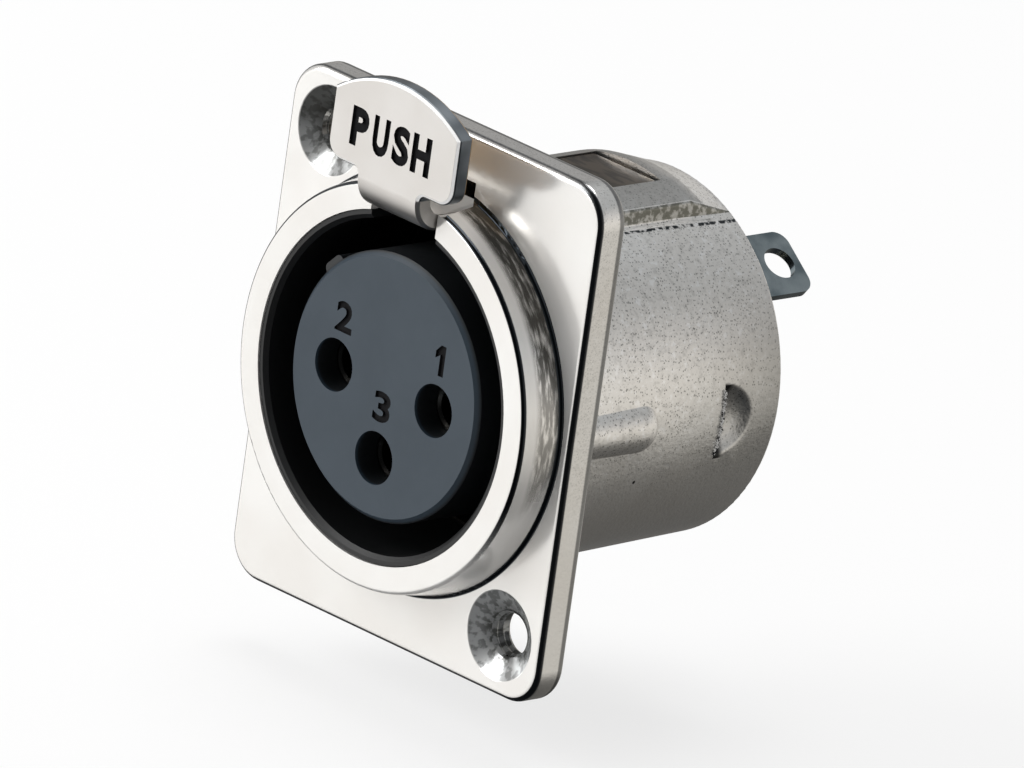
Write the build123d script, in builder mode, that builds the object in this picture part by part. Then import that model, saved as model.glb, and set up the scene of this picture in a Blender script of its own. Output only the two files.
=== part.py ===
from build123d import *
import math
import os

os.makedirs("parts", exist_ok=True)

# Panel socket for a round three-pin audio plug, in millimetres.
# The origin is on the bore axis, in the plane of the flange's back, which is the front of the panel.
# X points right and Z up, seen from the front. Y points to the rear, where the wires are soldered.

# Flange
flange_width = 26.0
flange_height = 31.0
flange_thick = 2.1
flange_corner = 2.4
flange_edge = 0.45
screw_pitch_x = 19.0
screw_pitch_z = 24.0
screw_hole_dia = 2.7
screw_sink_dia = 5.3
screw_sink_angle = 110.0

# Collar in front of the flange
collar_height = 2.65
collar_dia = 24.2
collar_draft = 0.3
collar_round = 0.3
collar_root = 0.25

# Bore for the plug's sleeve and the seat behind it
bore_dia = 19.2
plug_depth = 15.35
seat_dia = 19.7

# Barrel behind the flange
barrel_front_wall = 1.35
barrel_rear_wall = 0.875
barrel_rim_round = 0.2
barrel_overhang = 0.78

# Latch housing on top of the barrel
housing_width = 9.6
housing_rise = 0.4
housing_sink = 0.075
housing_level = 13.1
housing_edge = 0.25
groove_radius = 0.3
groove_drop = 0.17
window_end = 12.5

# Half-round ribs on both sides of the barrel
rib_width = 2.4
rib_height = 0.5
rib_end = 6.5
rib_z = -0.1

# Half-moon lips staked into both sides of the barrel
stake_hold = 1.2
stake_radius = 2.4
stake_bite = 0.46
stake_wall = 0.5
stake_root = 0.15
stake_rim = 0.3
stake_z = -0.6

# Guide ring in the mouth
ring_wall = 0.5
ring_play = 0.05
ring_recess = 0.1
ring_length = 9.0
ring_edge = 0.25

# Core of the insert
core_dia = 15.6
core_recess = 0.25
core_edge = 0.3
key_angle = 135.0
key_width = 1.6
key_height = 0.35
spigot_dia = 13.6
post_dia = 1.2
post_circle = 5.85
post_angles = (225, 315)
post_head = 0.5
post_head_dia = 1.9

# Carrier behind the core
carrier_play = 0.05
carrier_flange = 2.55
boss_length = 0.75
tower_wall = 1.0

# Contacts
pin_circle = 4.2
contact_dia = 2.95
contact_bore = 2.4
contact_recess = 1.6
contact_depth = 9.5
contact_entry = 0.15
slit_width = 0.45
slit_length = 7.0
cavity_dia = 3.1
contact_collar_dia = 3.8
contact_collar = 1.0
cup_dia = 2.7
cup_bore = 1.9
cup_depth = 4.0
cup_open = 3.0
cup_reach = 4.5

# Rear plate
plate_thick = 1.7
plate_play = 0.05

# Latch lever, one strip of steel
lever_thick = 1.0
lever_width = 5.2
lever_play = 0.1
lever_lift_gap = 0.6
tab_gap = 0.65
tab_width = 10.5
tab_top = 18.3
tab_waist = 16.6
tab_shoulder = 2.0
tab_corner = 1.1
tab_rim = 0.2
notch_radius = 0.4
bend_inside = 0.9
hook_y = 2.4
hook_depth = 0.9
hook_width = 3.0
hook_length = 3.0
hook_gap = 0.2
tail_width = 3.4
tail_length = 4.05
ear_radius = 1.1
lever_swing = 6.2
slot_shoulder = 0.5

# Pivot pin and spring
pivot_dia = 1.2
pivot_play = 0.03
pocket_depth = 1.0
spring_dia = 2.3
spring_wire = 0.35
spring_turns = 5
spring_arm = 2.55
spring_length = 3.6

# Ground tag, one strip
tag_width = 4.15
tag_thick = 0.5
tag_radius = 7.0
tag_angle = 53.0
tag_reach = 6.4
tag_eye_dia = 2.05
tag_eye_edge = 1.5
tag_corner = 0.9
tag_leaf = 2.4
leaf_gap = 0.3

# Clearances between pieces that lie against each other
seat_gap = 0.02
slot_gap = 0.1

# Places worked out from the sizes above, from front to rear
bore_r = bore_dia / 2
seat_r = seat_dia / 2
collar_front = -(flange_thick + collar_height)
seat_y = collar_front + plug_depth
flange_rear = seat_y + carrier_flange
stake_y = seat_y + stake_hold + slot_gap / 2
lip_inner = seat_r - stake_bite
boss_rear = flange_rear + boss_length
plate_rear = boss_rear + seat_gap + plate_thick
barrel_length = plate_rear + barrel_overhang
core_front = collar_front + core_recess
ring_front = collar_front + ring_recess
ring_r = bore_r + ring_play
ring_outer_r = ring_r + ring_wall
ring_rear = ring_front + ring_length
barrel_front_r = seat_r + barrel_front_wall
barrel_rear_r = seat_r + barrel_rear_wall
housing_r = barrel_front_r + housing_rise
housing_rear_r = barrel_rear_r - housing_sink

# The lever's strip lies just outside the bore, and its tail drops into the seat
slot_width = lever_width + 2 * lever_play
strip_low = bore_r + lever_lift_gap
strip_top = strip_low + lever_thick
tab_back = collar_front - tab_gap
tab_front = tab_back - lever_thick
pivot_r = pivot_dia / 2
pivot_y = seat_y + ear_radius + slot_gap / 2
pivot_z = strip_low - pivot_r - slot_gap / 2
tail_top = math.sqrt((seat_r - slot_gap) ** 2 - (tail_width / 2) ** 2)
tail_low = tail_top - lever_thick
tail_end = pivot_y + tail_length
joggle_start = pivot_y + pivot_r - slot_gap
joggle_drop = strip_top - tail_top
hook_low = bore_r - hook_depth
bend_outside = bend_inside + lever_thick
neck_low = strip_low + bend_outside
tab_low = neck_low + notch_radius
swing_room = (pivot_y + flange_thick) * math.tan(math.radians(lever_swing)) + slot_gap
pocket_half = lever_width / 2 + lever_play + pocket_depth

# The carrier's trough under the lever, and the spring in its pocket
trough_half = lever_width / 2 + 3 * lever_play
tail_drop = tail_length * math.tan(math.radians(lever_swing))
trough_low = min(tail_low - tail_drop, pivot_z - ear_radius) - slot_gap
rail_top = pivot_z - pivot_r - seat_gap
spring_y = pivot_y + spring_arm
spring_low = tail_low - seat_gap - spring_length
spring_pocket_r = spring_dia / 2 + 2 * slot_gap
tower_half = spring_pocket_r + tower_wall
tower_rear = spring_y + spring_pocket_r + tower_wall / 2
tower_low = spring_low - tower_wall
spigot_flat = tower_low - tower_wall / 2

# The ground tag's leaf lies on the barrel's wall, and the boss leaves room for it
tag_inner = tag_radius - tag_thick / 2
tag_end = barrel_length + tag_reach
leaf_outer = math.sqrt((seat_r - slot_gap / 2) ** 2 - (tag_width / 2) ** 2)
boss_r = leaf_outer - tag_thick - leaf_gap
sliver = 0.01


def across(y):
    """Plane square to the bore at depth y, drawn as seen from the front. Extruding goes forward."""
    return Plane(origin=(0, y, 0), x_dir=(1, 0, 0), z_dir=(0, -1, 0))


def contact_places():
    """Contact 1 at the right, 2 at the left and 3 below, as seen from the front."""
    return {1: (pin_circle, 0), 2: (-pin_circle, 0), 3: (0, -pin_circle)}


# Plate of the flange, with rounded corners and softened edges
with BuildPart() as flange_plate:
    with BuildSketch(across(0)):
        RectangleRounded(flange_width, flange_height, flange_corner)
    extrude(amount=flange_thick)
    fillet(flange_plate.faces().filter_by(Axis.Y).edges(), flange_edge)


# Shell: one casting of flange, collar, barrel and latch housing
with BuildPart() as shell:
    # The housing is a turned bulge trimmed to its width
    with BuildSketch(Plane.XY) as housing_profile:
        with BuildLine():
            Polyline(
                (bore_r, 0),
                (housing_r, 0),
                (housing_r, housing_level),
                (housing_rear_r, barrel_length),
                (bore_r, barrel_length),
                close=True,
            )
        make_face()
        fillet(housing_profile.vertices().group_by(Axis.Y)[-1].sort_by(Axis.X)[-1], barrel_rim_round)
    revolve(axis=Axis.Y)
    with BuildSketch(across(barrel_length)):
        Rectangle(housing_width, 2 * housing_r, align=(Align.CENTER, Align.MIN))
    extrude(amount=barrel_length, mode=Mode.INTERSECT)
    housing_edges = shell.edges().filter_by(
        lambda edge: abs(edge.center().X) > housing_width / 2 - sliver and edge.center().Z > bore_r
    )
    fillet(housing_edges.filter_by(lambda edge: edge.length > barrel_length / 5), housing_edge)

    # Barrel with a slight draft
    with BuildSketch(Plane.XY) as barrel_profile:
        with BuildLine():
            Polyline(
                (0, -flange_thick),
                (barrel_front_r, -flange_thick),
                (barrel_front_r, 0),
                (barrel_rear_r, barrel_length),
                (0, barrel_length),
                close=True,
            )
        make_face()
        fillet(barrel_profile.vertices().group_by(Axis.Y)[-1].sort_by(Axis.X)[-1], barrel_rim_round)
    revolve(axis=Axis.Y)

    # Relief groove at the foot of each side of the housing, fading out as the barrel gets thinner
    groove_x = housing_width / 2 + groove_radius
    groove_z = math.sqrt(barrel_front_r**2 - groove_x**2) - groove_drop
    with BuildSketch(across(barrel_length)):
        with Locations((groove_x, groove_z), (-groove_x, groove_z)):
            Circle(groove_radius)
    extrude(amount=barrel_length, mode=Mode.SUBTRACT)

    # Half-round ribs with a ball end
    rib_r = ((rib_width / 2) ** 2 + rib_height**2) / (2 * rib_height)
    rib_x = math.sqrt(barrel_front_r**2 - rib_z**2) + rib_height - rib_r
    for side in (1, -1):
        with BuildSketch(across(rib_end - rib_width / 2)):
            with Locations((side * rib_x, rib_z)):
                Circle(rib_r)
        extrude(amount=rib_end - rib_width / 2)
        with Locations((side * rib_x, rib_end - rib_width / 2, rib_z)):
            Sphere(rib_r)

    # The flange goes round the barrel's front
    add(flange_plate.part)

    # Tapered collar with a rounded lip and a small root radius
    with BuildSketch(Plane.XY):
        with BuildLine():
            collar_r = collar_dia / 2
            lip_outer = collar_r - collar_draft
            Polyline(
                (bore_r, collar_front),
                (lip_outer - collar_round, collar_front),
            )
            RadiusArc(
                (lip_outer - collar_round, collar_front),
                (lip_outer, collar_front + collar_round),
                -collar_round,
            )
            Line((lip_outer, collar_front + collar_round), (collar_r, -flange_thick - collar_root))
            RadiusArc(
                (collar_r, -flange_thick - collar_root),
                (collar_r + collar_root, -flange_thick),
                collar_root,
            )
            Polyline(
                (collar_r + collar_root, -flange_thick),
                (collar_r, -flange_thick / 2),
                (bore_r, -flange_thick / 2),
                (bore_r, collar_front),
            )
        make_face()
    revolve(axis=Axis.Y)

    # Bore, seat for the carrier and counterbore for the guide ring
    with BuildSketch(across(seat_y)):
        Circle(bore_r)
    extrude(amount=seat_y - collar_front, mode=Mode.SUBTRACT)
    with BuildSketch(across(barrel_length)):
        Circle(seat_r)
    extrude(amount=barrel_length - seat_y, mode=Mode.SUBTRACT)
    with BuildSketch(across(ring_rear + seat_gap)):
        Circle(ring_outer_r + ring_play)
    extrude(amount=ring_rear + seat_gap - collar_front, mode=Mode.SUBTRACT)

    # Lips staked inwards into the carrier's notches: a bowl of wall with its front sheared off
    stake_part = (stake_y + stake_radius / 2) / barrel_length
    stake_skin = barrel_front_r + (barrel_rear_r - barrel_front_r) * stake_part
    dish_depth = stake_skin - lip_inner - stake_wall
    dish_r = (stake_radius**2 + dish_depth**2) / (2 * dish_depth)
    lip_r = dish_r + stake_wall
    dish_x = lip_inner + lip_r
    lip_base = seat_r + stake_root
    for side in (1, -1):
        with BuildSketch(Plane(origin=(0, stake_y, stake_z), x_dir=(side, 0, 0), z_dir=(0, -side, 0))):
            with BuildLine():
                lip_half = math.sqrt(lip_r**2 - (dish_x - lip_base) ** 2)
                Line((lip_base, 0), (lip_base, lip_half))
                ThreePointArc(
                    (lip_base, lip_half),
                    (dish_x - lip_r * math.cos(0.5), lip_r * math.sin(0.5)),
                    (dish_x - lip_r, 0),
                )
                Line((dish_x - lip_r, 0), (lip_base, 0))
            make_face()
        revolve(axis=Axis((0, stake_y, stake_z), (-1, 0, 0)), revolution_arc=180)
        with Locations((side * dish_x, stake_y, stake_z)):
            Sphere(dish_r, arc_size3=180, align=(Align.CENTER, Align.MIN, Align.CENTER), mode=Mode.SUBTRACT)
        dish_faces = shell.faces().filter_by(GeomType.SPHERE).filter_by(
            lambda face: side * face.center().X > seat_r and face.center().Y > stake_y
        )
        fillet(dish_faces.edges().filter_by(GeomType.CIRCLE, reverse=True), stake_rim)

    # Slot for the lever: through collar and flange, then an open window in the housing
    with BuildSketch(Plane.YZ):
        with BuildLine():
            Polyline(
                (collar_front - flange_thick, bore_r - hook_depth),
                (collar_front - flange_thick, strip_top + swing_room),
                (0, strip_top + swing_room),
                (window_end, strip_top + swing_room),
                (window_end, strip_top + slot_gap - (window_end - joggle_start)),
                (joggle_start + joggle_drop, tail_top + slot_gap),
                (joggle_start + joggle_drop, bore_r - hook_depth),
                close=True,
            )
        make_face()
    extrude(amount=slot_width / 2, both=True, mode=Mode.SUBTRACT)

    # The collar is cut wider above the strip
    with BuildSketch(across(-flange_thick)):
        with Locations((0, strip_top)):
            Rectangle(slot_width + 2 * slot_shoulder, swing_room, align=(Align.CENTER, Align.MIN))
    extrude(amount=2 * collar_height, mode=Mode.SUBTRACT)

    # Blind pockets for the pivot pin, open to the bore
    with BuildSketch(Plane.YZ):
        with Locations((pivot_y, pivot_z)):
            SlotCenterPoint(
                (0, -pivot_r),
                (0, 0),
                pivot_dia + 2 * seat_gap,
                rotation=90,
            )
    extrude(amount=pocket_half, both=True, mode=Mode.SUBTRACT)

    # Countersunk screw holes at the upper left and the lower right
    with Locations(across(-flange_thick)):
        with Locations((-screw_pitch_x / 2, screw_pitch_z / 2), (screw_pitch_x / 2, -screw_pitch_z / 2)):
            CounterSinkHole(
                screw_hole_dia / 2,
                screw_sink_dia / 2,
                depth=flange_thick,
                counter_sink_angle=screw_sink_angle,
            )
shell.part.label = "shell"
export_step(shell.part, "parts/shell.step")


# Guide ring: black plastic, split at the top for the lever
with BuildPart() as guide_ring:
    with BuildSketch(across(ring_rear)):
        Circle(ring_outer_r)
        Circle(ring_r, mode=Mode.SUBTRACT)
    extrude(amount=ring_length)
    front_face = guide_ring.faces().filter_by(Axis.Y).sort_by(Axis.Y)[0]
    chamfer(front_face.inner_wires()[0].edges(), ring_edge)
    with BuildSketch(across(ring_rear)):
        Rectangle(slot_width, ring_outer_r, align=(Align.CENTER, Align.MIN))
    extrude(amount=ring_length, mode=Mode.SUBTRACT)
guide_ring.part.label = "guide_ring"
export_step(guide_ring.part, "parts/guide_ring.step")


# Core: the insert's slate front, with a keyed spigot that runs back through the carrier
with BuildPart() as core:
    with BuildSketch(across(seat_y)):
        Circle(core_dia / 2)
    extrude(amount=seat_y - core_front)
    chamfer(core.edges().sort_by(Axis.Y)[0], core_edge)
    with BuildSketch(across(seat_y)):
        with Locations(Rotation(0, 0, key_angle) * Pos(core_dia / 2 - key_height, 0)):
            RectangleRounded(4 * key_height, key_width, key_height)
    extrude(amount=seat_y - core_front - core_edge)

    # The spigot's flat top keeps the core from turning
    with BuildSketch(across(boss_rear)):
        Circle(spigot_dia / 2)
        with Locations((0, spigot_flat)):
            Rectangle(spigot_dia, spigot_dia, align=(Align.CENTER, Align.MIN), mode=Mode.SUBTRACT)
    extrude(amount=boss_rear - seat_y)

    # Cavities for the contacts, wider at the rear for their collars
    for place in contact_places().values():
        with BuildSketch(across(boss_rear)):
            with Locations(place):
                Circle(cavity_dia / 2)
        extrude(amount=boss_rear - core_front, mode=Mode.SUBTRACT)
        with BuildSketch(across(boss_rear)):
            with Locations(place):
                Circle(contact_collar_dia / 2 + carrier_play)
        extrude(amount=contact_collar + seat_gap, mode=Mode.SUBTRACT)

    # Posts with heads closed over the rear plate
    for turn in post_angles:
        with BuildSketch(across(plate_rear + seat_gap)):
            with Locations(Rotation(0, 0, turn) * Pos(post_circle, 0)):
                Circle(post_dia / 2)
        extrude(amount=plate_rear + seat_gap - boss_rear)
        with BuildSketch(across(plate_rear + seat_gap + post_head)):
            with Locations(Rotation(0, 0, turn) * Pos(post_circle, 0)):
                Circle(post_head_dia / 2)
        extrude(amount=post_head)
core.part.label = "core"
export_step(core.part, "parts/core.step")


# Carrier: a flange that the barrel's lips hold, a boss, and the tower round the spring
with BuildPart() as carrier:
    with BuildSketch(across(flange_rear)):
        Circle(seat_r - carrier_play)
    extrude(amount=carrier_flange - seat_gap)
    with BuildSketch(across(boss_rear)):
        Circle(boss_r)
    extrude(amount=boss_length)
    with BuildSketch(across(tower_rear)):
        Rectangle(2 * tower_half, trough_low, align=(Align.CENTER, Align.MIN))
        Rectangle(2 * tower_half, tower_low, align=(Align.CENTER, Align.MIN), mode=Mode.SUBTRACT)
    extrude(amount=tower_rear - boss_rear)

    # Hole for the core's spigot
    with BuildSketch(across(boss_rear)):
        Circle(spigot_dia / 2 + carrier_play)
        with Locations((0, spigot_flat + carrier_play)):
            Rectangle(2 * spigot_dia, spigot_dia, align=(Align.CENTER, Align.MIN), mode=Mode.SUBTRACT)
    extrude(amount=boss_rear - seat_y, mode=Mode.SUBTRACT)

    # Notches that the barrel's lips hold, open to the rear
    for side in (1, -1):
        with BuildSketch(across(flange_rear)):
            with Locations((side * (lip_inner - slot_gap), stake_z)):
                Rectangle(
                    seat_r,
                    2 * (stake_radius + slot_gap),
                    align=(Align.MIN if side > 0 else Align.MAX, Align.CENTER),
                )
        extrude(amount=flange_rear - stake_y + slot_gap / 2, mode=Mode.SUBTRACT)

    # Trough for the lever and a lower level for the pin
    with BuildSketch(across(tower_rear)):
        with Locations((0, trough_low)):
            Rectangle(2 * trough_half, seat_r, align=(Align.CENTER, Align.MIN))
        with Locations((0, rail_top)):
            Rectangle(2 * pocket_half + 2 * slot_gap, seat_r, align=(Align.CENTER, Align.MIN))
    extrude(amount=tower_rear - seat_y, mode=Mode.SUBTRACT)

    # Spring pocket
    with BuildSketch(Plane.XY.offset(spring_low)):
        with Locations((0, spring_y)):
            Circle(spring_pocket_r)
    extrude(amount=seat_r, mode=Mode.SUBTRACT)

    # Recess for the foot of the ground tag, and the side of the tower that it passes
    tag_turn = Rotation(0, 0, tag_angle)
    with BuildSketch(across(tower_rear)):
        with Locations(tag_turn * Pos(tag_inner - slot_gap, 0)):
            Rectangle(seat_r - tag_inner, tag_width + 2 * slot_gap, align=(Align.MIN, Align.CENTER))
    extrude(amount=tower_rear - boss_rear + tag_thick + seat_gap, mode=Mode.SUBTRACT)
carrier.part.label = "carrier"
export_step(carrier.part, "parts/carrier.step")


# Rear plate: closes the core and carrier over the contact collars and the tag's foot
with BuildPart() as rear_plate:
    with BuildSketch(across(plate_rear)):
        Circle(boss_r - plate_play)
        with Locations((0, tower_low - slot_gap)):
            Rectangle(
                2 * (tower_half + slot_gap),
                seat_r,
                align=(Align.CENTER, Align.MIN),
                mode=Mode.SUBTRACT,
            )
        with Locations(*contact_places().values()):
            Circle(cup_dia / 2 + plate_play, mode=Mode.SUBTRACT)
        with Locations(*[Rotation(0, 0, turn) * Pos(post_circle, 0) for turn in post_angles]):
            Circle(post_dia / 2 + plate_play, mode=Mode.SUBTRACT)
        with Locations(tag_turn * Pos(tag_radius, 0)):
            Rectangle(tag_thick + 2 * slot_gap, tag_width + 2 * slot_gap, mode=Mode.SUBTRACT)
    extrude(amount=plate_thick)
rear_plate.part.label = "rear_plate"
export_step(rear_plate.part, "parts/rear_plate.step")


def turned_contact(x, z, label):
    """Turned contact: slit socket at the front, collar in the middle, solder cup at the rear."""
    mouth = core_front + contact_recess
    collar_rear = boss_rear
    collar_start = boss_rear - contact_collar
    cup_end = barrel_length + cup_reach
    with BuildPart() as contact:
        with BuildSketch(Plane(origin=(x, 0, z), x_dir=(1, 0, 0), z_dir=(0, 0, 1))):
            with BuildLine():
                Polyline(
                    (0, mouth + contact_depth),
                    (contact_bore / 2, mouth + contact_depth),
                    (contact_bore / 2, mouth + contact_entry),
                    (contact_bore / 2 + contact_entry, mouth),
                    (contact_dia / 2, mouth),
                    (contact_dia / 2, collar_start),
                    (contact_collar_dia / 2, collar_start),
                    (contact_collar_dia / 2, collar_rear),
                    (cup_dia / 2, collar_rear),
                    (cup_dia / 2, cup_end),
                    (cup_bore / 2, cup_end),
                    (cup_bore / 2, cup_end - cup_depth),
                    (0, cup_end - cup_depth),
                    close=True,
                )
            make_face()
        revolve(axis=Axis((x, 0, z), (0, 1, 0)))
        with BuildSketch(across(mouth + slit_length)):
            with Locations((x, z)):
                Rectangle(slit_width, 2 * contact_dia)
        extrude(amount=slit_length, mode=Mode.SUBTRACT)
        with BuildSketch(across(cup_end)):
            with Locations((x, z)):
                Rectangle(2 * cup_dia, cup_dia, align=(Align.CENTER, Align.MIN))
        extrude(amount=cup_open, mode=Mode.SUBTRACT)
    contact.part.label = label
    return contact.part


for number, place in contact_places().items():
    node = f"contact_{number}"
    export_step(turned_contact(*place, node), f"parts/{node}.step")


# Latch lever: one stamped strip, bent up into the push tab at the front
with BuildPart() as latch_lever:
    # Strip and joggled tail, drawn from the side
    with BuildSketch(Plane.YZ):
        with BuildLine():
            Line((tab_front, tab_low), (tab_front, neck_low))
            RadiusArc(
                (tab_front, neck_low),
                (tab_front + bend_outside, strip_low),
                -bend_outside,
            )
            Polyline(
                (tab_front + bend_outside, strip_low),
                (joggle_start - lever_thick / 2, strip_low),
                (joggle_start - lever_thick / 2 + joggle_drop, tail_low),
                (tail_end, tail_low),
                (tail_end, tail_top),
                (joggle_start + joggle_drop, tail_top),
                (joggle_start, strip_top),
                (tab_back + bend_inside, strip_top),
            )
            RadiusArc(
                (tab_back + bend_inside, strip_top),
                (tab_back, neck_low),
                bend_inside,
            )
            Polyline(
                (tab_back, neck_low),
                (tab_back, tab_low),
                (tab_front, tab_low),
            )
        make_face()
    extrude(amount=lever_width / 2, both=True)

    # The tail is narrower than the strip
    with BuildSketch(Plane.XY.offset(tail_low)):
        for side in (1, -1):
            with Locations((side * tail_width / 2, joggle_start)):
                Rectangle(
                    lever_width,
                    tail_length + lever_width,
                    align=(Align.MIN if side > 0 else Align.MAX, Align.MIN),
                )
    extrude(amount=strip_top, mode=Mode.SUBTRACT)

    # Ears that hang from the strip round the pivot pin
    with BuildSketch(Plane.YZ):
        with Locations((pivot_y, pivot_z)):
            Circle(ear_radius)
        with Locations((pivot_y, (pivot_z + strip_low) / 2)):
            Rectangle(2 * ear_radius, strip_low - pivot_z)
    extrude(amount=lever_width / 2, both=True)
    with BuildSketch(Plane.YZ):
        with Locations((pivot_y, strip_low)):
            Rectangle(3 * ear_radius, 4 * ear_radius, align=(Align.CENTER, Align.MAX))
    extrude(amount=lever_width / 2 - lever_thick, both=True, mode=Mode.SUBTRACT)
    with BuildSketch(Plane.YZ):
        with Locations((pivot_y, pivot_z)):
            Circle(pivot_r + pivot_play)
    extrude(amount=lever_width, both=True, mode=Mode.SUBTRACT)

    # Hook lanced from the strip and bent down: a ramp for the plug and a square catch face
    with BuildSketch(Plane.XY.offset(strip_low)):
        with Locations((0, hook_y + hook_gap)):
            Rectangle(
                hook_width + 2 * hook_gap,
                hook_length + hook_gap,
                align=(Align.CENTER, Align.MAX),
            )
    extrude(amount=lever_thick, mode=Mode.SUBTRACT)
    with BuildSketch(Plane.YZ):
        with BuildLine():
            hook_root = hook_y - hook_length
            Polyline(
                (hook_root - lever_thick / 2, strip_low),
                (hook_root, strip_low),
                (hook_y, hook_low),
                (hook_y, hook_low + lever_thick),
                (hook_root, strip_top),
                (hook_root - lever_thick / 2, strip_top),
                close=True,
            )
        make_face()
    extrude(amount=hook_width / 2, both=True)

    # Push tab with a rounded head and rounded lower corners, and an inside radius at each side of the neck
    with BuildSketch(across(tab_back)) as tab_outline:
        with BuildLine():
            ThreePointArc((-tab_width / 2, tab_waist), (0, tab_top), (tab_width / 2, tab_waist))
            for side in (1, -1):
                Polyline(
                    (side * tab_width / 2, tab_waist),
                    (side * tab_width / 2, tab_low),
                    (side * (lever_width / 2 + notch_radius), tab_low),
                )
                RadiusArc(
                    (side * (lever_width / 2 + notch_radius), tab_low),
                    (side * lever_width / 2, neck_low),
                    -side * notch_radius,
                )
            Line((lever_width / 2, neck_low), (-lever_width / 2, neck_low))
        make_face()
        outer_corners = tab_outline.vertices().filter_by(lambda vertex: abs(vertex.X) > tab_width / 2 - sliver)
        fillet(outer_corners.group_by(Axis.Y)[0], tab_corner)
        fillet(outer_corners.group_by(Axis.Y)[-1], tab_shoulder)
    extrude(amount=lever_thick)
    tab_face = latch_lever.faces().filter_by(Axis.Y).sort_by(Axis.Y)[0]
    chamfer(tab_face.outer_wire().edges().filter_by(lambda edge: edge.center().Z > neck_low + sliver), tab_rim)
latch_lever.part.label = "latch_lever"
export_step(latch_lever.part, "parts/latch_lever.step")


# Pivot pin
with BuildPart() as latch_pin:
    with BuildSketch(Plane.YZ):
        with Locations((pivot_y, pivot_z)):
            Circle(pivot_r)
    extrude(amount=pocket_half - slot_gap, both=True)
latch_pin.part.label = "latch_pin"
export_step(latch_pin.part, "parts/latch_pin.step")


# Compression spring under the lever's tail
with BuildPart() as latch_spring:
    coil_r = (spring_dia - spring_wire) / 2
    coil_height = spring_length - spring_wire
    with BuildLine() as coil:
        Helix(coil_height / spring_turns, coil_height, coil_r, center=(0, spring_y, spring_low + spring_wire / 2))
    with BuildSketch(Plane(coil.line @ 0, z_dir=coil.line % 0)):
        Circle(spring_wire / 2)
    sweep(is_frenet=True)
latch_spring.part.label = "latch_spring"
export_step(latch_spring.part, "parts/latch_spring.step")


# Ground tag: flat tail with an eye, a foot in the carrier and a leaf against the barrel
with BuildPart() as ground_tag:
    tag_sin = math.sin(math.radians(tag_angle))
    tag_cos = math.cos(math.radians(tag_angle))
    tag_side = Plane(origin=(0, 0, 0), x_dir=(tag_cos, 0, tag_sin), z_dir=(-tag_sin, 0, tag_cos))
    tag_outer = tag_inner + tag_thick
    foot_front = boss_rear - tag_thick
    with BuildSketch(tag_side):
        with BuildLine():
            Polyline(
                (tag_inner, tag_end),
                (tag_inner, foot_front),
                (leaf_outer, foot_front),
                (leaf_outer, foot_front + tag_leaf),
                (leaf_outer - tag_thick, foot_front + tag_leaf),
                (leaf_outer - tag_thick, boss_rear),
                (tag_outer, boss_rear),
                (tag_outer, tag_end),
                close=True,
            )
        make_face()
    extrude(amount=tag_width / 2, both=True)
    with BuildSketch(Plane(origin=(0, 0, 0), x_dir=(0, 1, 0), z_dir=(tag_cos, 0, tag_sin))):
        with Locations((tag_end - tag_eye_edge, 0)):
            Circle(tag_eye_dia / 2)
    extrude(amount=tag_outer + tag_thick, mode=Mode.SUBTRACT)
    tail_corners = ground_tag.edges().filter_by(
        lambda edge: edge.center().Y > tag_end - sliver and edge.length < 2 * tag_thick
    )
    fillet(tail_corners, tag_corner)
ground_tag.part.label = "ground_tag"
export_step(ground_tag.part, "parts/ground_tag.step")
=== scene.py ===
import math
import random

import bmesh
import bpy
from mathutils import Matrix, Vector


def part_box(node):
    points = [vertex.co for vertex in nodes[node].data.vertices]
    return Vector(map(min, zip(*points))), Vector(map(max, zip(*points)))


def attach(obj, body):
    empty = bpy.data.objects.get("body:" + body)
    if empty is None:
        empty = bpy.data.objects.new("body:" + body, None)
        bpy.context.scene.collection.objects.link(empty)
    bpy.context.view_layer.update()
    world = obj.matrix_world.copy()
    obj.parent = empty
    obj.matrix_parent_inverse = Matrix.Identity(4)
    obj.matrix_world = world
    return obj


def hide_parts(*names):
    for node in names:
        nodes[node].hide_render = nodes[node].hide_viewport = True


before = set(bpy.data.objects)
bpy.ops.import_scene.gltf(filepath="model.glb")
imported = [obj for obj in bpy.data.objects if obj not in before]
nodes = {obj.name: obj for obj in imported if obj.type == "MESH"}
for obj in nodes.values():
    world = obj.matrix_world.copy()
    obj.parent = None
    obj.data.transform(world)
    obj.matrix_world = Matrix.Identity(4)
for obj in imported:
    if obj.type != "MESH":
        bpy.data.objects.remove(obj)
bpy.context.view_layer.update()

# Lengths are in millimetres, and MM turns them into the frame's metres
MM = 0.001


# Camera
# A long lens far to the right and a little above, turned so that uprights lean clockwise.
# The middle of the flange's front face lies at flange_pixel in the 1024 x 768 picture.
image_width = 1024
image_height = 768
sensor_width = 36
camera_turn = math.radians(44.91)
camera_rise = math.radians(17.77)
camera_roll = math.radians(7.955)
camera_distance = 1623.96
camera_far_end = 100000
pixels_per_mm = 17.693
flange_pixel = (414.4, 382.8)
flange_front = -2.1

looking = -Vector(
    (
        math.sin(camera_turn) * math.cos(camera_rise),
        -math.cos(camera_turn) * math.cos(camera_rise),
        math.sin(camera_rise),
    )
)
level_right = looking.cross(Vector((0, 0, 1))).normalized()
level_up = level_right.cross(looking)
right = level_right * math.cos(camera_roll) + level_up * math.sin(camera_roll)
up = level_up * math.cos(camera_roll) - level_right * math.sin(camera_roll)
aside = (flange_pixel[0] - image_width / 2) / pixels_per_mm
below = (flange_pixel[1] - image_height / 2) / pixels_per_mm
camera_place = Vector((0, flange_front, 0)) - looking * camera_distance - right * aside + up * below

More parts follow.
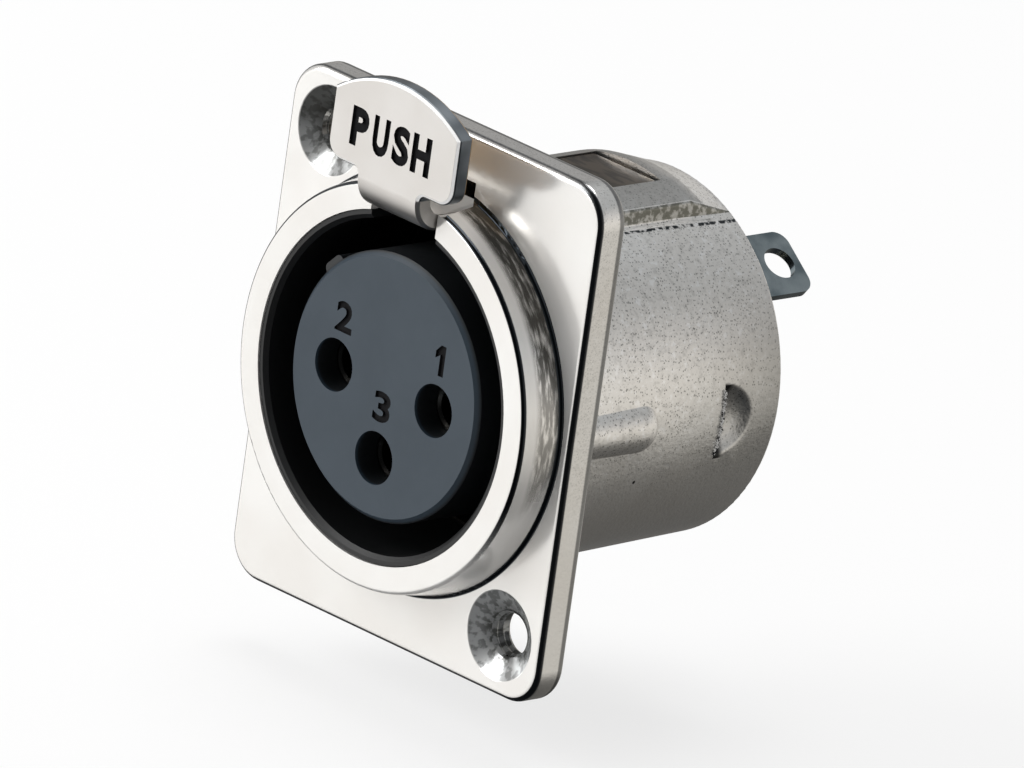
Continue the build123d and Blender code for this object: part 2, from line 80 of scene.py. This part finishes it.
camera_data = bpy.data.cameras.new("camera")
camera_data.sensor_width = sensor_width
camera_data.lens = pixels_per_mm * camera_distance / image_width * sensor_width
camera_data.clip_end = camera_far_end * MM
camera = bpy.data.objects.new("camera", camera_data)
camera_axes = Matrix((right, up, -looking)).transposed().to_4x4()
camera.matrix_world = Matrix.Translation(camera_place * MM) @ camera_axes
bpy.context.scene.collection.objects.link(camera)
bpy.context.scene.camera = camera
bpy.context.scene.view_settings.view_transform = "Standard"


# Floor and light
# A pale floor under the flange, one broad lamp at the front left and one above.
# The world is white to the camera. Polished metal sees it white at the front left, pale to the rear
# and dark elsewhere.
class Value:
    """A socket of a node tree. Arithmetic on it adds Math nodes."""

    def __init__(self, tree, socket=None):
        self.tree = tree
        self.socket = socket

    def node(self, kind, settings=None, inputs=None, output=0):
        """Adds a node: its settings first, then values or links for its input sockets."""
        made = self.tree.nodes.new(kind)
        for name, setting in (settings or {}).items():
            if name == "stops":
                for _ in setting[len(made.color_ramp.elements) :]:
                    made.color_ramp.elements.new(1.0)
                for element, (position, shade) in zip(made.color_ramp.elements, setting):
                    element.position = position
                    element.color = (*shade, 1)
            else:
                setattr(made, name, setting)
        for name, value in (inputs or {}).items():
            if isinstance(value, Value):
                self.tree.links.new(value.socket, made.inputs[name])
            elif isinstance(value, tuple) and made.inputs[name].type == "RGBA":
                made.inputs[name].default_value = (*value, 1)
            else:
                made.inputs[name].default_value = value
        return Value(self.tree, made.outputs[output] if made.outputs else None)

    def output(self, name):
        """Another output of the same node."""
        return Value(self.tree, self.socket.node.outputs[name])

    def maths(self, operation, *values):
        """A Math node on values and numbers."""
        return self.node("ShaderNodeMath", {"operation": operation}, dict(enumerate(values)))

    def __add__(self, other):
        return self.maths("ADD", self, other)

    __radd__ = __add__

    def __sub__(self, other):
        return self.maths("SUBTRACT", self, other)

    def __rsub__(self, other):
        return self.maths("SUBTRACT", other, self)

    def __mul__(self, other):
        return self.maths("MULTIPLY", self, other)

    __rmul__ = __mul__

    def __pow__(self, other):
        return self.maths("POWER", self, other)

    def __abs__(self):
        return self.maths("ABSOLUTE", self)

    def larger(self, other):
        """The larger of two values."""
        return self.maths("MAXIMUM", self, other)

    def step(self, low, high):
        """0 below low, 1 above high, smooth between."""
        return self.node(
            "ShaderNodeMapRange",
            {"interpolation_type": "SMOOTHSTEP"},
            {"Value": self, "From Min": low, "From Max": high},
        )

    def past(self, limit, softness):
        """0 before a limit and 1 past it. The change is as wide as the softness."""
        return self.step(limit - softness / 2, limit + softness / 2)

    def before(self, limit, softness):
        """1 before a limit and 0 past it. The change is as wide as the softness."""
        return 1 - self.past(limit, softness)

    def blend(self, first, second):
        """Colour first where this is 0 and second where it is 1."""
        return self.node("ShaderNodeMix", {"data_type": "RGBA"}, {0: self, 6: first, 7: second}, output=2)

    def part(self, axis):
        """One coordinate of a vector."""
        return self.node("ShaderNodeSeparateXYZ", inputs={0: self}, output=axis)

    def along(self, direction):
        """How far this vector points along a direction."""
        settings = {"operation": "DOT_PRODUCT"}
        return self.node("ShaderNodeVectorMath", settings, {0: self, 1: direction}, "Value")

    def place(self):
        """Where a point lies on its piece, in millimetres."""
        coordinates = self.node("ShaderNodeTexCoord", output="Object")
        return self.node("ShaderNodeVectorMath", {"operation": "SCALE"}, {0: coordinates, "Scale": 1 / MM})

    def drawn_out(self, factors):
        """This place with its axes scaled, so that a pattern on it is drawn out where a factor is small."""
        return self.node("ShaderNodeMapping", inputs={"Vector": self, "Scale": factors})

    def noise(self, scale, detail=2, roughness=0.5):
        """A cloudy pattern at this place, whose clouds are about 1 / scale millimetres wide."""
        inputs = {"Vector": self, "Scale": scale, "Detail": detail, "Roughness": roughness}
        return self.node("ShaderNodeTexNoise", inputs=inputs)

    def bump(self, strength, height):
        """A bumpy normal from this pattern."""
        inputs = {"Height": self, "Strength": strength, "Distance": height * MM}
        return self.node("ShaderNodeBump", inputs=inputs)


def new_finish(name):
    """An empty material and the first value of its node tree."""
    material = bpy.data.materials.new(name)
    material.use_nodes = True
    material.node_tree.nodes.clear()
    return material, Value(material.node_tree)


def new_mesh(form, name):
    """Ends a bmesh as a named mesh."""
    mesh = bpy.data.meshes.new(name)
    form.to_mesh(mesh)
    form.free()
    return mesh


def new_object(form, name):
    """Ends a bmesh as a named object of the scene."""
    made = bpy.data.objects.new(name, new_mesh(form, name))
    bpy.context.scene.collection.objects.link(made)
    return made


def softbox(name, place, size, power):
    """A square area lamp that points at the middle of the part."""
    lamp_data = bpy.data.lights.new(name, "AREA")
    lamp_data.shape = "SQUARE"
    lamp_data.size = size * MM
    lamp_data.energy = power
    lamp = bpy.data.objects.new(name, lamp_data)
    lamp.location = Vector(place) * MM
    lamp.rotation_euler = (-Vector(place)).to_track_quat("-Z", "Y").to_euler()
    bpy.context.scene.collection.objects.link(lamp)


white = (1.0, 1.0, 1.0)
world = bpy.data.worlds.new("studio")
world.use_nodes = True
world.node_tree.nodes.clear()
sky = Value(world.node_tree)
toward = sky.node("ShaderNodeTexCoord", output="Generated")
rear_shades = [
    (0.0, (0.030, 0.029, 0.028)),
    (0.22, (0.175, 0.170, 0.160)),
    (0.34, (0.60, 0.58, 0.54)),
    (0.50, (0.80, 0.77, 0.72)),
    (0.64, (0.62, 0.61, 0.60)),
    (0.78, (0.39, 0.40, 0.405)),
    (1.0, (0.50, 0.51, 0.52)),
]
from_below = toward.part("Z") * 0.5 + 0.5
rear_wall = sky.node("ShaderNodeValToRGB", {"stops": rear_shades}, {0: from_below})
to_white_wall = toward.along((-0.77, -0.62, 0.12)).step(0.42, 0.82)
to_rear_wall = toward.along((0.50, 0.85, 0.10)).step(-0.05, 0.55)
dark_side = to_rear_wall.blend((0.045, 0.048, 0.052), rear_wall)
seen_by_metal = to_white_wall.blend(dark_side, (1.0, 0.99, 0.975))
leftward = 0.5 - toward.part("X") * 0.5
soft_light = leftward.blend((0.22, 0.22, 0.22), (0.80, 0.80, 0.80))
camera_ray = sky.node("ShaderNodeLightPath", output="Is Camera Ray")
seen_by_part = camera_ray.output("Is Glossy Ray").blend(soft_light, seen_by_metal)
world_tone = camera_ray.blend(seen_by_part, white)
background = sky.node("ShaderNodeBackground", inputs={"Color": world_tone, "Strength": 1.0})
sky.node("ShaderNodeOutputWorld", inputs={"Surface": background})
bpy.context.scene.world = world

floor_drop = 4
floor_size = 6000
floor_glow = 0.72
floor_form = bmesh.new()
bmesh.ops.create_grid(floor_form, x_segments=1, y_segments=1, size=floor_size * MM / 2)
floor_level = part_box("shell")[0].z - floor_drop * MM
bmesh.ops.translate(floor_form, verts=floor_form.verts, vec=(0, 0, floor_level))
floor = new_object(floor_form, "floor")
floor_paint, start = new_finish("floor_paint")
floor_lit = start.node("ShaderNodeBsdfDiffuse", inputs={"Color": (0.85, 0.85, 0.85)})
floor_bright = start.node("ShaderNodeEmission", inputs={"Color": white, "Strength": 1.0})
brightened = start.node("ShaderNodeLightPath", output="Is Camera Ray") * floor_glow
floor_mix = start.node("ShaderNodeMixShader", inputs={0: brightened, 1: floor_lit, 2: floor_bright})
start.node("ShaderNodeOutputMaterial", inputs={"Surface": floor_mix})
floor.data.materials.append(floor_paint)
floor.visible_glossy = False

softbox("key_lamp", (-450, -550, 350), 500, 4.5)
softbox("top_lamp", (-100, 100, 750), 400, 2.2)


# Shell
# One zinc casting: flange, collar, barrel and latch housing, with ribs and staked lips on its sides.
# It is tumbled and nickel plated, so the front is bright and the barrel keeps the die's fine grain.
merge_distance = 0.0001


def dressed(node, name):
    """A merged copy of a CAD solid, which stands for that solid."""
    form = bmesh.new()
    form.from_mesh(nodes[node].data)
    bmesh.ops.remove_doubles(form, verts=form.verts, dist=merge_distance * MM)
    piece = new_object(form, name)
    piece.data.attributes.remove(piece.data.attributes["custom_normal"])
    piece.data.materials.clear()
    return piece


def even_shading(piece):
    """Smooths all but sharp edges, and keeps flat faces flat where rounded edges meet them."""
    sharp_angle = math.radians(28)
    piece.data.shade_smooth()
    piece.data.set_sharp_from_angle(angle=sharp_angle)
    modifier = piece.modifiers.new("even_shading", "WEIGHTED_NORMAL")
    modifier.keep_sharp = True
    modifier.weight = 100


def surface(start, inputs):
    """Ends a material in one Principled shader."""
    shader = start.node("ShaderNodeBsdfPrincipled", inputs=inputs)
    start.node("ShaderNodeOutputMaterial", inputs={"Surface": shader})


def distance(first, second):
    """How far a point of a plane is from its origin."""
    return (first * first + second * second) ** 0.5


# Sizes and places of the casting, measured from the bore's axis and the flange's back
shell_low, shell_high = (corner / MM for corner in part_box("shell"))
flange_half_width = shell_high.x
flange_half_height = -shell_low.z
flange_corner = 2.4
screw_places = ((-9.5, 12.0), (9.5, -12.0))
screw_sink_radius = 2.65
collar_front = shell_low.y
collar_radius = 12.1
seat_radius = 9.85
barrel_radius = 11.2
housing_half_width = 4.8
window_end = 12.5
stake_front = 11.85
stake_level = -0.6
stake_radius = 2.4
pit_depth = 5.9
pit_level = -3.5
pit_radius = 0.11

shell = dressed("shell", "shell_casting")
even_shading(shell)
nickel, start = new_finish("cast_nickel")
where = start.place()
sideways = where.part("X")
depth = where.part("Y")
rise = where.part("Z")
off_middle = abs(sideways)
radius = distance(sideways, rise)

# The flange's sides, which stay dull, what lies behind it, and the countersunk holes
behind_flange = depth.past(-0.1, 0.4)
past_corner_x = (off_middle - (flange_half_width - flange_corner)).larger(0)
past_corner_z = (abs(rise) - (flange_half_height - flange_corner)).larger(0)
from_outline = distance(past_corner_x, past_corner_z) - flange_corner
at_outline = from_outline.past(-0.28, 0.04)
on_side = at_outline * (1 - behind_flange)
as_cast = behind_flange.larger(on_side * 0.4)
in_hole = sum(
    distance(sideways - hole_x, rise - hole_z).before(screw_sink_radius - 0.03, 0.08)
    for hole_x, hole_z in screw_places
)
in_hole = in_hole * depth.past(flange_front + 0.03, 0.04) * depth.before(-0.025, 0.03)

# Places that no light reaches, painted dark as shade: the bore, and the housing's inside with its window
in_bore = radius.before(seat_radius + 0.1, 0.1)
in_housing = off_middle.before(housing_half_width - 0.25, 0.1) * rise.past(0.5, 1) * depth.past(0.15, 0.1)
housing_room = in_housing * radius.before(seat_radius + 0.61, 0.08)
in_window = in_housing * depth.before(window_end, 0.1) * radius.before(barrel_radius + 0.16, 0.12)
painted_shade_inside = in_bore.larger(in_window).larger(housing_room)

# Painted dark lines of shade and reflection at polished edges: the collar's foot and lip, the flange's
# outline
at_collar = radius.past(collar_radius - 0.525, 0.05) * radius.before(collar_radius + 0.23, 0.06)
at_collar = at_collar * depth.before(flange_front + 0.2, 0.1)
collar_foot = at_collar * depth.past(flange_front - 0.22, 0.08) * depth.before(flange_front + 0.1, 0.1)
collar_foot = collar_foot * radius.past(collar_radius - 0.075, 0.05)
collar_lip = at_collar * depth.before(collar_front + 0.27, 0.08) * radius.past(collar_radius - 0.49, 0.06)
collar_lip = collar_lip * rise.past(-6, 6)
front_line = on_side * depth.before(flange_front + 0.3, 0.08) * (sideways.past(10, 4) * 0.6 + 0.35)
rear_line = at_outline * depth.past(-0.59, 0.14) * depth.before(0.03, 0.06)
painted_edge_lines = collar_foot.larger(collar_lip).larger(front_line).larger(rear_line * 0.72)

# Nickel over the die's grain, with dark dots and bright grains, and painted shade where the barrel ends
grain = where.noise(5.6, roughness=0.6)
coarse = where.noise(2.6)
haze = where.noise(0.16)
nickel_tone = haze.step(0.3, 0.7).blend((0.84, 0.82, 0.79), (0.89, 0.88, 0.86))
grained = as_cast * (rise.past(-3, 6) * 0.75 + 0.12)
cells = where.node("ShaderNodeTexVoronoi", inputs={"Vector": where, "Scale": 7.2})
cell_number = cells.output("Color").part("X")
dots = (1 - cells.step(0.22, 0.50)) * cell_number.step(0.30, 0.95) + coarse.step(0.52, 0.72) * 0.3
nickel_tone = (dots * grained).blend(nickel_tone, (0.25, 0.25, 0.24))
nickel_tone = (coarse.step(0.42, 0.30) * grained * 0.8).blend(nickel_tone, white)
painted_rear_shade = depth.past(14, 16) * rise.past(-3.5, 5) * rise.before(5.5, 5)
nickel_tone = (painted_rear_shade * 0.9).blend(nickel_tone, (0.20, 0.20, 0.19))

# A pit in the barrel's right side, and painted dark reflection on the housing's top, sides and feet
pit = distance(depth - pit_depth, rise - pit_level).before(pit_radius, 0.06) * sideways.past(9.5, 1)
nickel_tone = pit.blend(nickel_tone, (0.04, 0.04, 0.04))
on_top = rise.past(7.5, 1) * depth.past(0.04, 0.04)
from_housing = off_middle - housing_half_width
housing_top_shade = on_top * radius.past(barrel_radius + 0.08, 0.08) * from_housing.before(-0.17, 0.06)
nickel_tone = (housing_top_shade * 0.55).blend(nickel_tone, (0.20, 0.20, 0.195))
broken = coarse.step(0.40, 0.55)
housing_side_shade = on_top * from_housing.past(-0.11, 0.06) * from_housing.before(0.01, 0.02)
nickel_tone = (housing_side_shade * (0.55 + 0.4 * broken)).blend(nickel_tone, (0.17, 0.17, 0.145))
foot_shade_line = on_top * from_housing.past(0.47, 0.06) * from_housing.before(0.67, 0.06)
nickel_tone = (foot_shade_line * broken).blend(nickel_tone, (0.03, 0.035, 0.04))
foot_light = on_top * from_housing.past(0.055, 0.05) * from_housing.before(0.38, 0.08) * depth.before(13, 2)

# The collar's right side has painted dark reflection in fine lines round it, most of all near the top
collar_streaks = where.drawn_out((0.2, 1.0, 0.2)).noise(4.5, detail=3)
collar_reflection_side = at_collar * depth.past(-3.6, 0.6) * rise.past(-2.5, 5) * sideways.past(1.5, 3)
collar_dark_reflection = collar_reflection_side * collar_streaks.step(0.34 - 0.16 * rise.past(5, 6), 0.56) * (0.65 + 0.28 * rise.past(4, 3))
nickel_tone = collar_dark_reflection.blend(nickel_tone, (0.06, 0.058, 0.05))

# The screw holes are streaked by the countersink, and the upper one lies in the tab's shade
streaks = where.drawn_out((1.0, 0.15, 1.0)).noise(2.6)
hole_shade = rise.past(2.5, 5) * (0.25 + 0.55 * rise.past(11.8, 1.6))
# Painted shade darkens each hole deeper in, and the tab's shadow is painted over the upper one
hole_light = (streaks.step(0.40, 0.56) * 0.5 + 0.5 - depth.past(-1.525, 0.45) * 0.35) * (1 - hole_shade)
nickel_tone = in_hole.blend(nickel_tone, hole_light.blend((0.045, 0.044, 0.038), (0.50, 0.51, 0.51)))

# The painted shade inside, the painted shadow behind each staked lip's straight edge, and the painted edge
# lines
nickel_tone = painted_shade_inside.blend(nickel_tone, (0.035, 0.030, 0.026))
at_lip = abs(rise - stake_level).before(stake_radius - 0.16, 0.08) * behind_flange
lip_shadow = at_lip * depth.past(stake_front + 0.02, 0.02) * depth.before(stake_front + 0.65, 0.5)
nickel_tone = lip_shadow.blend(nickel_tone, (0.03, 0.03, 0.03))
nickel_tone = painted_edge_lines.blend(nickel_tone, (0.03, 0.035, 0.04))

grain_height = (grain * 0.7 + coarse * 0.5) * (as_cast * 0.9 + 0.05)
tumbled = (1 - on_side) * (1 - as_cast) * (1 - in_hole) * (1 - painted_shade_inside) * (1 - painted_edge_lines) * (1 - collar_reflection_side)
surface(
    start,
    {
        "Base Color": nickel_tone,
        "Metallic": 1 - tumbled * 0.38 - in_hole * 0.45 - foot_light,
        "Roughness": as_cast * 0.12 + haze * 0.05 + 0.15,
        "Normal": grain_height.bump(0.22, 0.10),
    },
)
shell.data.materials.append(nickel)
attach(shell, "socket")
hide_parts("shell")

# The screw holes' threads, each spun from one ridge
thread_pitch = 0.5
thread_outer = 1.36
thread_inner = 1.20
thread_flank = 0.22
thread_start = -1.32
turn_steps = 30
turns = 2.2
for number, (hole_x, hole_z) in enumerate(screw_places, 1):
    form = bmesh.new()
    profile = (
        (thread_start - thread_flank, thread_outer),
        (thread_start, thread_inner),
        (thread_start + thread_flank, thread_outer),
    )
    points = [form.verts.new((hole_x * MM, y * MM, (hole_z - reach) * MM)) for y, reach in profile]
    ridge = [form.edges.new(pair) for pair in zip(points, points[1:])]
    bmesh.ops.spin(
        form,
        geom=points + ridge,
        cent=(hole_x * MM, 0, hole_z * MM),
        axis=(0, 1, 0),
        dvec=(0, thread_pitch * MM / turn_steps, 0),
        angle=2 * math.pi * turns,
        steps=round(turns * turn_steps),
        use_merge=False,
    )
    bmesh.ops.recalc_face_normals(form, faces=form.faces)
    thread = new_object(form, f"screw_thread_{number}")
    thread.data.materials.append(nickel)
    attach(thread, "socket")

# The punch leaves a torn ridge along the straight edge of each staked lip
torn_metal_with_glints, start = new_finish("torn_nickel_glints")
tear = start.place().noise(6.0)
# White glints and black gaps of shade are painted along the torn ridge
burr_glints_and_shade = tear.step(0.44, 0.50).blend((0.02, 0.02, 0.02), (0.98, 0.97, 0.95))
surface(start, {"Base Color": burr_glints_and_shade, "Metallic": 0.2, "Roughness": tear * 0.3 + 0.2})
burr_front = stake_front - 0.05
burr_foot = 10.80
burr_crest = 10.96
burr_raggedness = 0.14
burr_lean = 0.02
burr_thick = 0.06
burr_half_length = 2.0
burr_steps = 40
tearing = random.Random(4)
for side, side_name in ((1, "right"), (-1, "left")):
    form = bmesh.new()
    rows = []
    for step in range(burr_steps + 1):
        level = stake_level + burr_half_length * (2 * step / burr_steps - 1)
        crest = burr_crest + tearing.uniform(0, burr_raggedness)
        row = []
        for reach, back in ((burr_foot, 0), (crest, burr_lean), (burr_foot, burr_thick)):
            out = side * math.sqrt(reach**2 - level**2)
            row.append(form.verts.new((out * MM, (burr_front + back) * MM, level * MM)))
        rows.append(row)
    for low_row, high_row in zip(rows, rows[1:]):
        for first in range(len(low_row) - 1):
            form.faces.new((low_row[first], low_row[first + 1], high_row[first + 1], high_row[first]))
    bmesh.ops.recalc_face_normals(form, faces=form.faces)
    burr = new_object(form, f"stake_burr_{side_name}")
    burr.data.materials.append(torn_metal_with_glints)
    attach(burr, "socket")


# Guide ring
# A split ring of black acetal in the mouth, which keeps the plug's sleeve off the plating.
# It is pressed into the counterbore, with its gap under the latch.
guide_ring = dressed("guide_ring", "guide_ring_moulding")
even_shading(guide_ring)
black, start = new_finish("black_plastic")
flow = start.place().noise(0.7)
surface(
    start,
    {
        "Base Color": (0.006, 0.0065, 0.007),
        "Roughness": flow * 0.12 + 0.34,
        "Normal": flow.bump(0.15, 0.02),
    },
)
guide_ring.data.materials.append(black)
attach(guide_ring, "socket")
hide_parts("guide_ring")


# Core
# The slate insert that the plug's sleeve passes over, moulded in glass-filled nylon.
# The contact numbers are sunk into its face above their holes, and painted dark as the shade in them.
def stand_up(mesh, height, width, middle):
    """Brings a flat outline to its size and stands it up on a face that looks forward."""
    low = Vector([min(vertex.co[axis] for vertex in mesh.vertices) for axis in range(3)])
    high = Vector([max(vertex.co[axis] for vertex in mesh.vertices) for axis in range(3)])
    span = high - low
    mesh.transform(Matrix.Translation(-(low + high) / 2))
    mesh.transform(Matrix.Diagonal((width * MM / span.x, height * MM / span.y, 1, 1)))
    mesh.transform(Matrix.Rotation(math.pi / 2, 4, "X"))
    mesh.transform(Matrix.Translation([coordinate * MM for coordinate in middle]))
    return mesh


def flat_word(text, height, width, boldness, middle, depth):
    """A block with the outline of a word, seen from the front, that stands to its depth in a face."""
    curve = bpy.data.curves.new(text, "FONT")
    curve.body = text
    curve.size = height * MM
    curve.offset = boldness * MM
    curve.align_x = "CENTER"
    curve.align_y = "CENTER"
    curve.extrude = depth * MM
    curve.resolution_u = 4
    written = bpy.data.objects.new(text, curve)
    mesh = bpy.data.meshes.new_from_object(written)
    bpy.data.objects.remove(written)
    form = bmesh.new()
    form.from_mesh(mesh)
    bmesh.ops.remove_doubles(form, verts=form.verts, dist=merge_distance * MM)
    form.to_mesh(mesh)
    form.free()
    return stand_up(mesh, height, width, middle)


def flat_one(height, width, stroke, middle, depth):
    """The figure 1 with a flag at its upper left, as a block like flat_word's."""
    stem_left = width - stroke
    flag_drop = 2 * stroke
    notch_drop = 1.4 * stroke
    outline = (
        (stem_left, 0),
        (width, 0),
        (width, height),
        (stem_left, height),
        (0, height - stroke),
        (0, height - flag_drop),
        (stem_left, height - notch_drop),
    )
    form = bmesh.new()
    face = form.faces.new([form.verts.new((x * MM, y * MM, 0)) for x, y in outline])
    raised = bmesh.ops.extrude_face_region(form, geom=[face])["geom"]
    moved = [item for item in raised if isinstance(item, bmesh.types.BMVert)]
    bmesh.ops.translate(form, verts=moved, vec=(0, 0, 2 * depth * MM))
    bmesh.ops.recalc_face_normals(form, faces=form.faces)
    return stand_up(new_mesh(form, "1"), height, width, middle)


def sink(piece, mesh, material):
    """Cuts a block out of a piece and gives the cut its own material."""
    mesh.materials.clear()
    mesh.materials.append(material)
    cutter = bpy.data.objects.new("cutter", mesh)
    bpy.context.scene.collection.objects.link(cutter)
    cut = piece.modifiers.new("cut", "BOOLEAN")
    cut.operation = "DIFFERENCE"
    cut.solver = "EXACT"
    cut.material_mode = "TRANSFER"
    cut.object = cutter
    bpy.context.view_layer.update()
    shape = bpy.data.meshes.new_from_object(piece.evaluated_get(bpy.context.evaluated_depsgraph_get()))
    piece.modifiers.remove(cut)
    piece.data = shape
    bpy.data.objects.remove(cutter)


def flat_front(piece):
    """Shades the faces that look straight forward flat, so that cut marks leave no shadow on them."""
    for face in piece.data.polygons:
        if face.normal.y < -0.999:
            face.use_smooth = False


core = dressed("core", "core_moulding")
core_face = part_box("core")[0].y / MM
core_edge = 0.21
slate, start = new_finish("slate_plastic")
where = start.place()
fibres = where.noise(1.5, detail=4, roughness=0.6)
face_tone = where.noise(0.22).step(0.3, 0.7).blend((0.018, 0.033, 0.049), (0.023, 0.039, 0.056))
# The core's flank behind its face is painted near black, as the shade in the mouth
painted_flank_shade = where.part("Y").past(core_face + core_edge, 0.18)
surface(
    start,
    {
        "Base Color": painted_flank_shade.blend(face_tone, (0.007, 0.009, 0.011)),
        "Roughness": fibres * 0.15 + 0.42,
        "IOR": 1.55,
        "Normal": fibres.bump(0.25, 0.02),
    },
)
core.data.materials.append(slate)

# Sunk marks are painted near black as shade, mottled a little
sunk, start = new_finish("sunk_mark")
sunk_shade_mottle = start.place().noise(2.6)
surface(
    start,
    {
        "Base Color": sunk_shade_mottle.blend((0.003, 0.003, 0.004), (0.012, 0.012, 0.013)),
        "Roughness": sunk_shade_mottle * 0.1 + 0.8,
        "Specular IOR Level": 0.15,
    },
)
digit_height = 1.8
digit_width = 1.4
digit_boldness = 0.06
one_width = 0.8
one_stroke = 0.42
digit_depth = 0.15
one_middle = (4.18, core_face, 3.0)
two_middle = (-3.85, core_face, 2.95)
three_middle = (0.1, core_face, -1.15)
sink(core, flat_one(digit_height, one_width, one_stroke, one_middle, digit_depth), sunk)
sink(core, flat_word("2", digit_height, digit_width, digit_boldness, two_middle, digit_depth), sunk)
sink(core, flat_word("3", digit_height, digit_width, digit_boldness, three_middle, digit_depth), sunk)
even_shading(core)
flat_front(core)
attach(core, "socket")
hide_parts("core")


# Carrier and rear plate
# The black moulding that holds core, pivot pin and spring in the barrel, and the plate over its back.
# The core's two posts are closed over the plate with heat.
for node, name in (("carrier", "carrier_moulding"), ("rear_plate", "rear_plate_moulding")):
    piece = dressed(node, name)
    even_shading(piece)
    piece.data.materials.append(black)
    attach(piece, "socket")
    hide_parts(node)


# Contacts
# Three turned sockets of plated brass, slit at the front to grip the pin, with a solder cup behind.
# Their collars are held between the core and the rear plate. In the core they are painted shade with glints.
hole_shade_end = 9.5
contact_metal, start = new_finish("contact_metal")
where = start.place()
turning = where.noise(2.2)
tarnish_and_glints = where.noise(0.42, detail=3)
plated = tarnish_and_glints.step(0.35, 0.75).blend((0.80, 0.77, 0.70), (0.66, 0.60, 0.50))
hole_shade_and_glints = tarnish_and_glints.step(0.52, 0.70).blend((0.05, 0.048, 0.045), (0.50, 0.48, 0.44))
surface(
    start,
    {
        "Base Color": where.part("Y").past(hole_shade_end, 1).blend(hole_shade_and_glints, plated),
        "Metallic": 1.0,
        "Roughness": turning * 0.14 + 0.18,
    },
)
for number in (1, 2, 3):
    piece = dressed(f"contact_{number}", f"contact_socket_{number}")
    even_shading(piece)
    piece.data.materials.append(contact_metal)
    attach(piece, "socket")
    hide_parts(f"contact_{number}")


# Latch lever
# A strip of steel bent up into the push tab, nickel plated and lightly brushed on its face.
# The tab's word is stamped into it, and its letters are painted dark as the shade in them.
lever = dressed("latch_lever", "latch_lever_stamping")
tab_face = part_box("latch_lever")[0].y / MM
tab_foot = 12.15
tab_rim = 0.135
lever_thick = 1.0
housing_mouth = -0.25
satin, start = new_finish("lever_steel")
where = start.place()
brushing = where.drawn_out((0.25, 1.0, 1.0)).noise(2.6, detail=3)
clouding = where.noise(0.26)
depth = where.part("Y")
on_tab = where.part("Z").past(tab_foot, 0.1) * depth.before(tab_face + lever_thick + 0.25, 0.1)
off_face = depth.past(tab_face + 0.008, 0.008)
past_rim = depth.past(tab_face + tab_rim, 0.03)
at_back = depth.past(tab_face + lever_thick - 0.045, 0.05)
# The bevelled rim of the tab is painted white as a highlight
rim_highlight = on_tab * off_face * (1 - past_rim)
cut_side = on_tab * past_rim * (1 - at_back)
lever_tone = clouding.step(0.3, 0.7).blend((0.67, 0.645, 0.615), (0.72, 0.70, 0.675))
lever_tone = (at_back * on_tab).blend(lever_tone, (0.44, 0.30, 0.16))
cut_tone = clouding.step(0.35, 0.65).blend((0.10, 0.115, 0.13), (0.34, 0.37, 0.40))
lever_tone = cut_side.blend(lever_tone, cut_tone)
# The lever inside the housing is painted dark as the shade there
housed_shade = brushing.step(0.40, 0.60).blend((0.055, 0.045, 0.036), (0.14, 0.115, 0.09))
lever_tone = depth.past(housing_mouth, 1.5).blend(lever_tone, housed_shade)
lever_tone = rim_highlight.blend(lever_tone, (0.95, 0.95, 0.94))
surface(
    start,
    {
        "Base Color": lever_tone,
        "Metallic": 1 - rim_highlight * 0.9 - (1 - off_face) * 0.4,
        "Roughness": brushing * 0.12 + 0.3,
        "Normal": brushing.bump(0.2, 0.02),
    },
)
lever.data.materials.append(satin)
letter_height = 2.3
letter_boldness = 0.12
letter_level = 14.85
letter_depth = 0.18
letters = {"P": (-2.79, 1.43), "U": (-1.02, 1.32), "S": (0.67, 1.37), "H": (2.36, 1.55)}
for letter, (middle_x, width) in letters.items():
    middle = (middle_x, tab_face, letter_level)
    sink(lever, flat_word(letter, letter_height, width, letter_boldness, middle, letter_depth), sunk)
even_shading(lever)
flat_front(lever)
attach(lever, "lever")
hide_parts("latch_lever")


# Pivot pin and spring
# A ground steel pin across the housing, and a small music-wire spring under the lever's tail.
bright_steel, start = new_finish("spring_steel")
drawing = start.place().noise(1.8)
surface(
    start,
    {
        "Base Color": drawing.blend((0.42, 0.42, 0.43), (0.58, 0.58, 0.59)),
        "Metallic": 1.0,
        "Roughness": drawing * 0.15 + 0.2,
    },
)
pin_and_spring = (("latch_pin", "pivot_pin", "pin_steel"), ("latch_spring", "return_spring", "spring_steel"))
for node, name, slot in pin_and_spring:
    piece = dressed(node, name)
    even_shading(piece)
    piece.data.materials.append(bright_steel)
    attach(piece, "socket")
    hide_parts(node)


# Ground tag
# A strip of plated steel, with an eye for the wire, a foot in the carrier and a leaf against the barrel.
tag = dressed("ground_tag", "ground_tag_stamping")
even_shading(tag)
dark_plate, start = new_finish("tag_metal")
smear = start.place().noise(0.5, detail=3)
surface(
    start,
    {
        "Base Color": smear.step(0.3, 0.7).blend((0.15, 0.19, 0.21), (0.33, 0.38, 0.40)),
        "Metallic": 1.0,
        "Roughness": smear * 0.15 + 0.16,
    },
)
tag.data.materials.append(dark_plate)
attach(tag, "socket")
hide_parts("ground_tag")
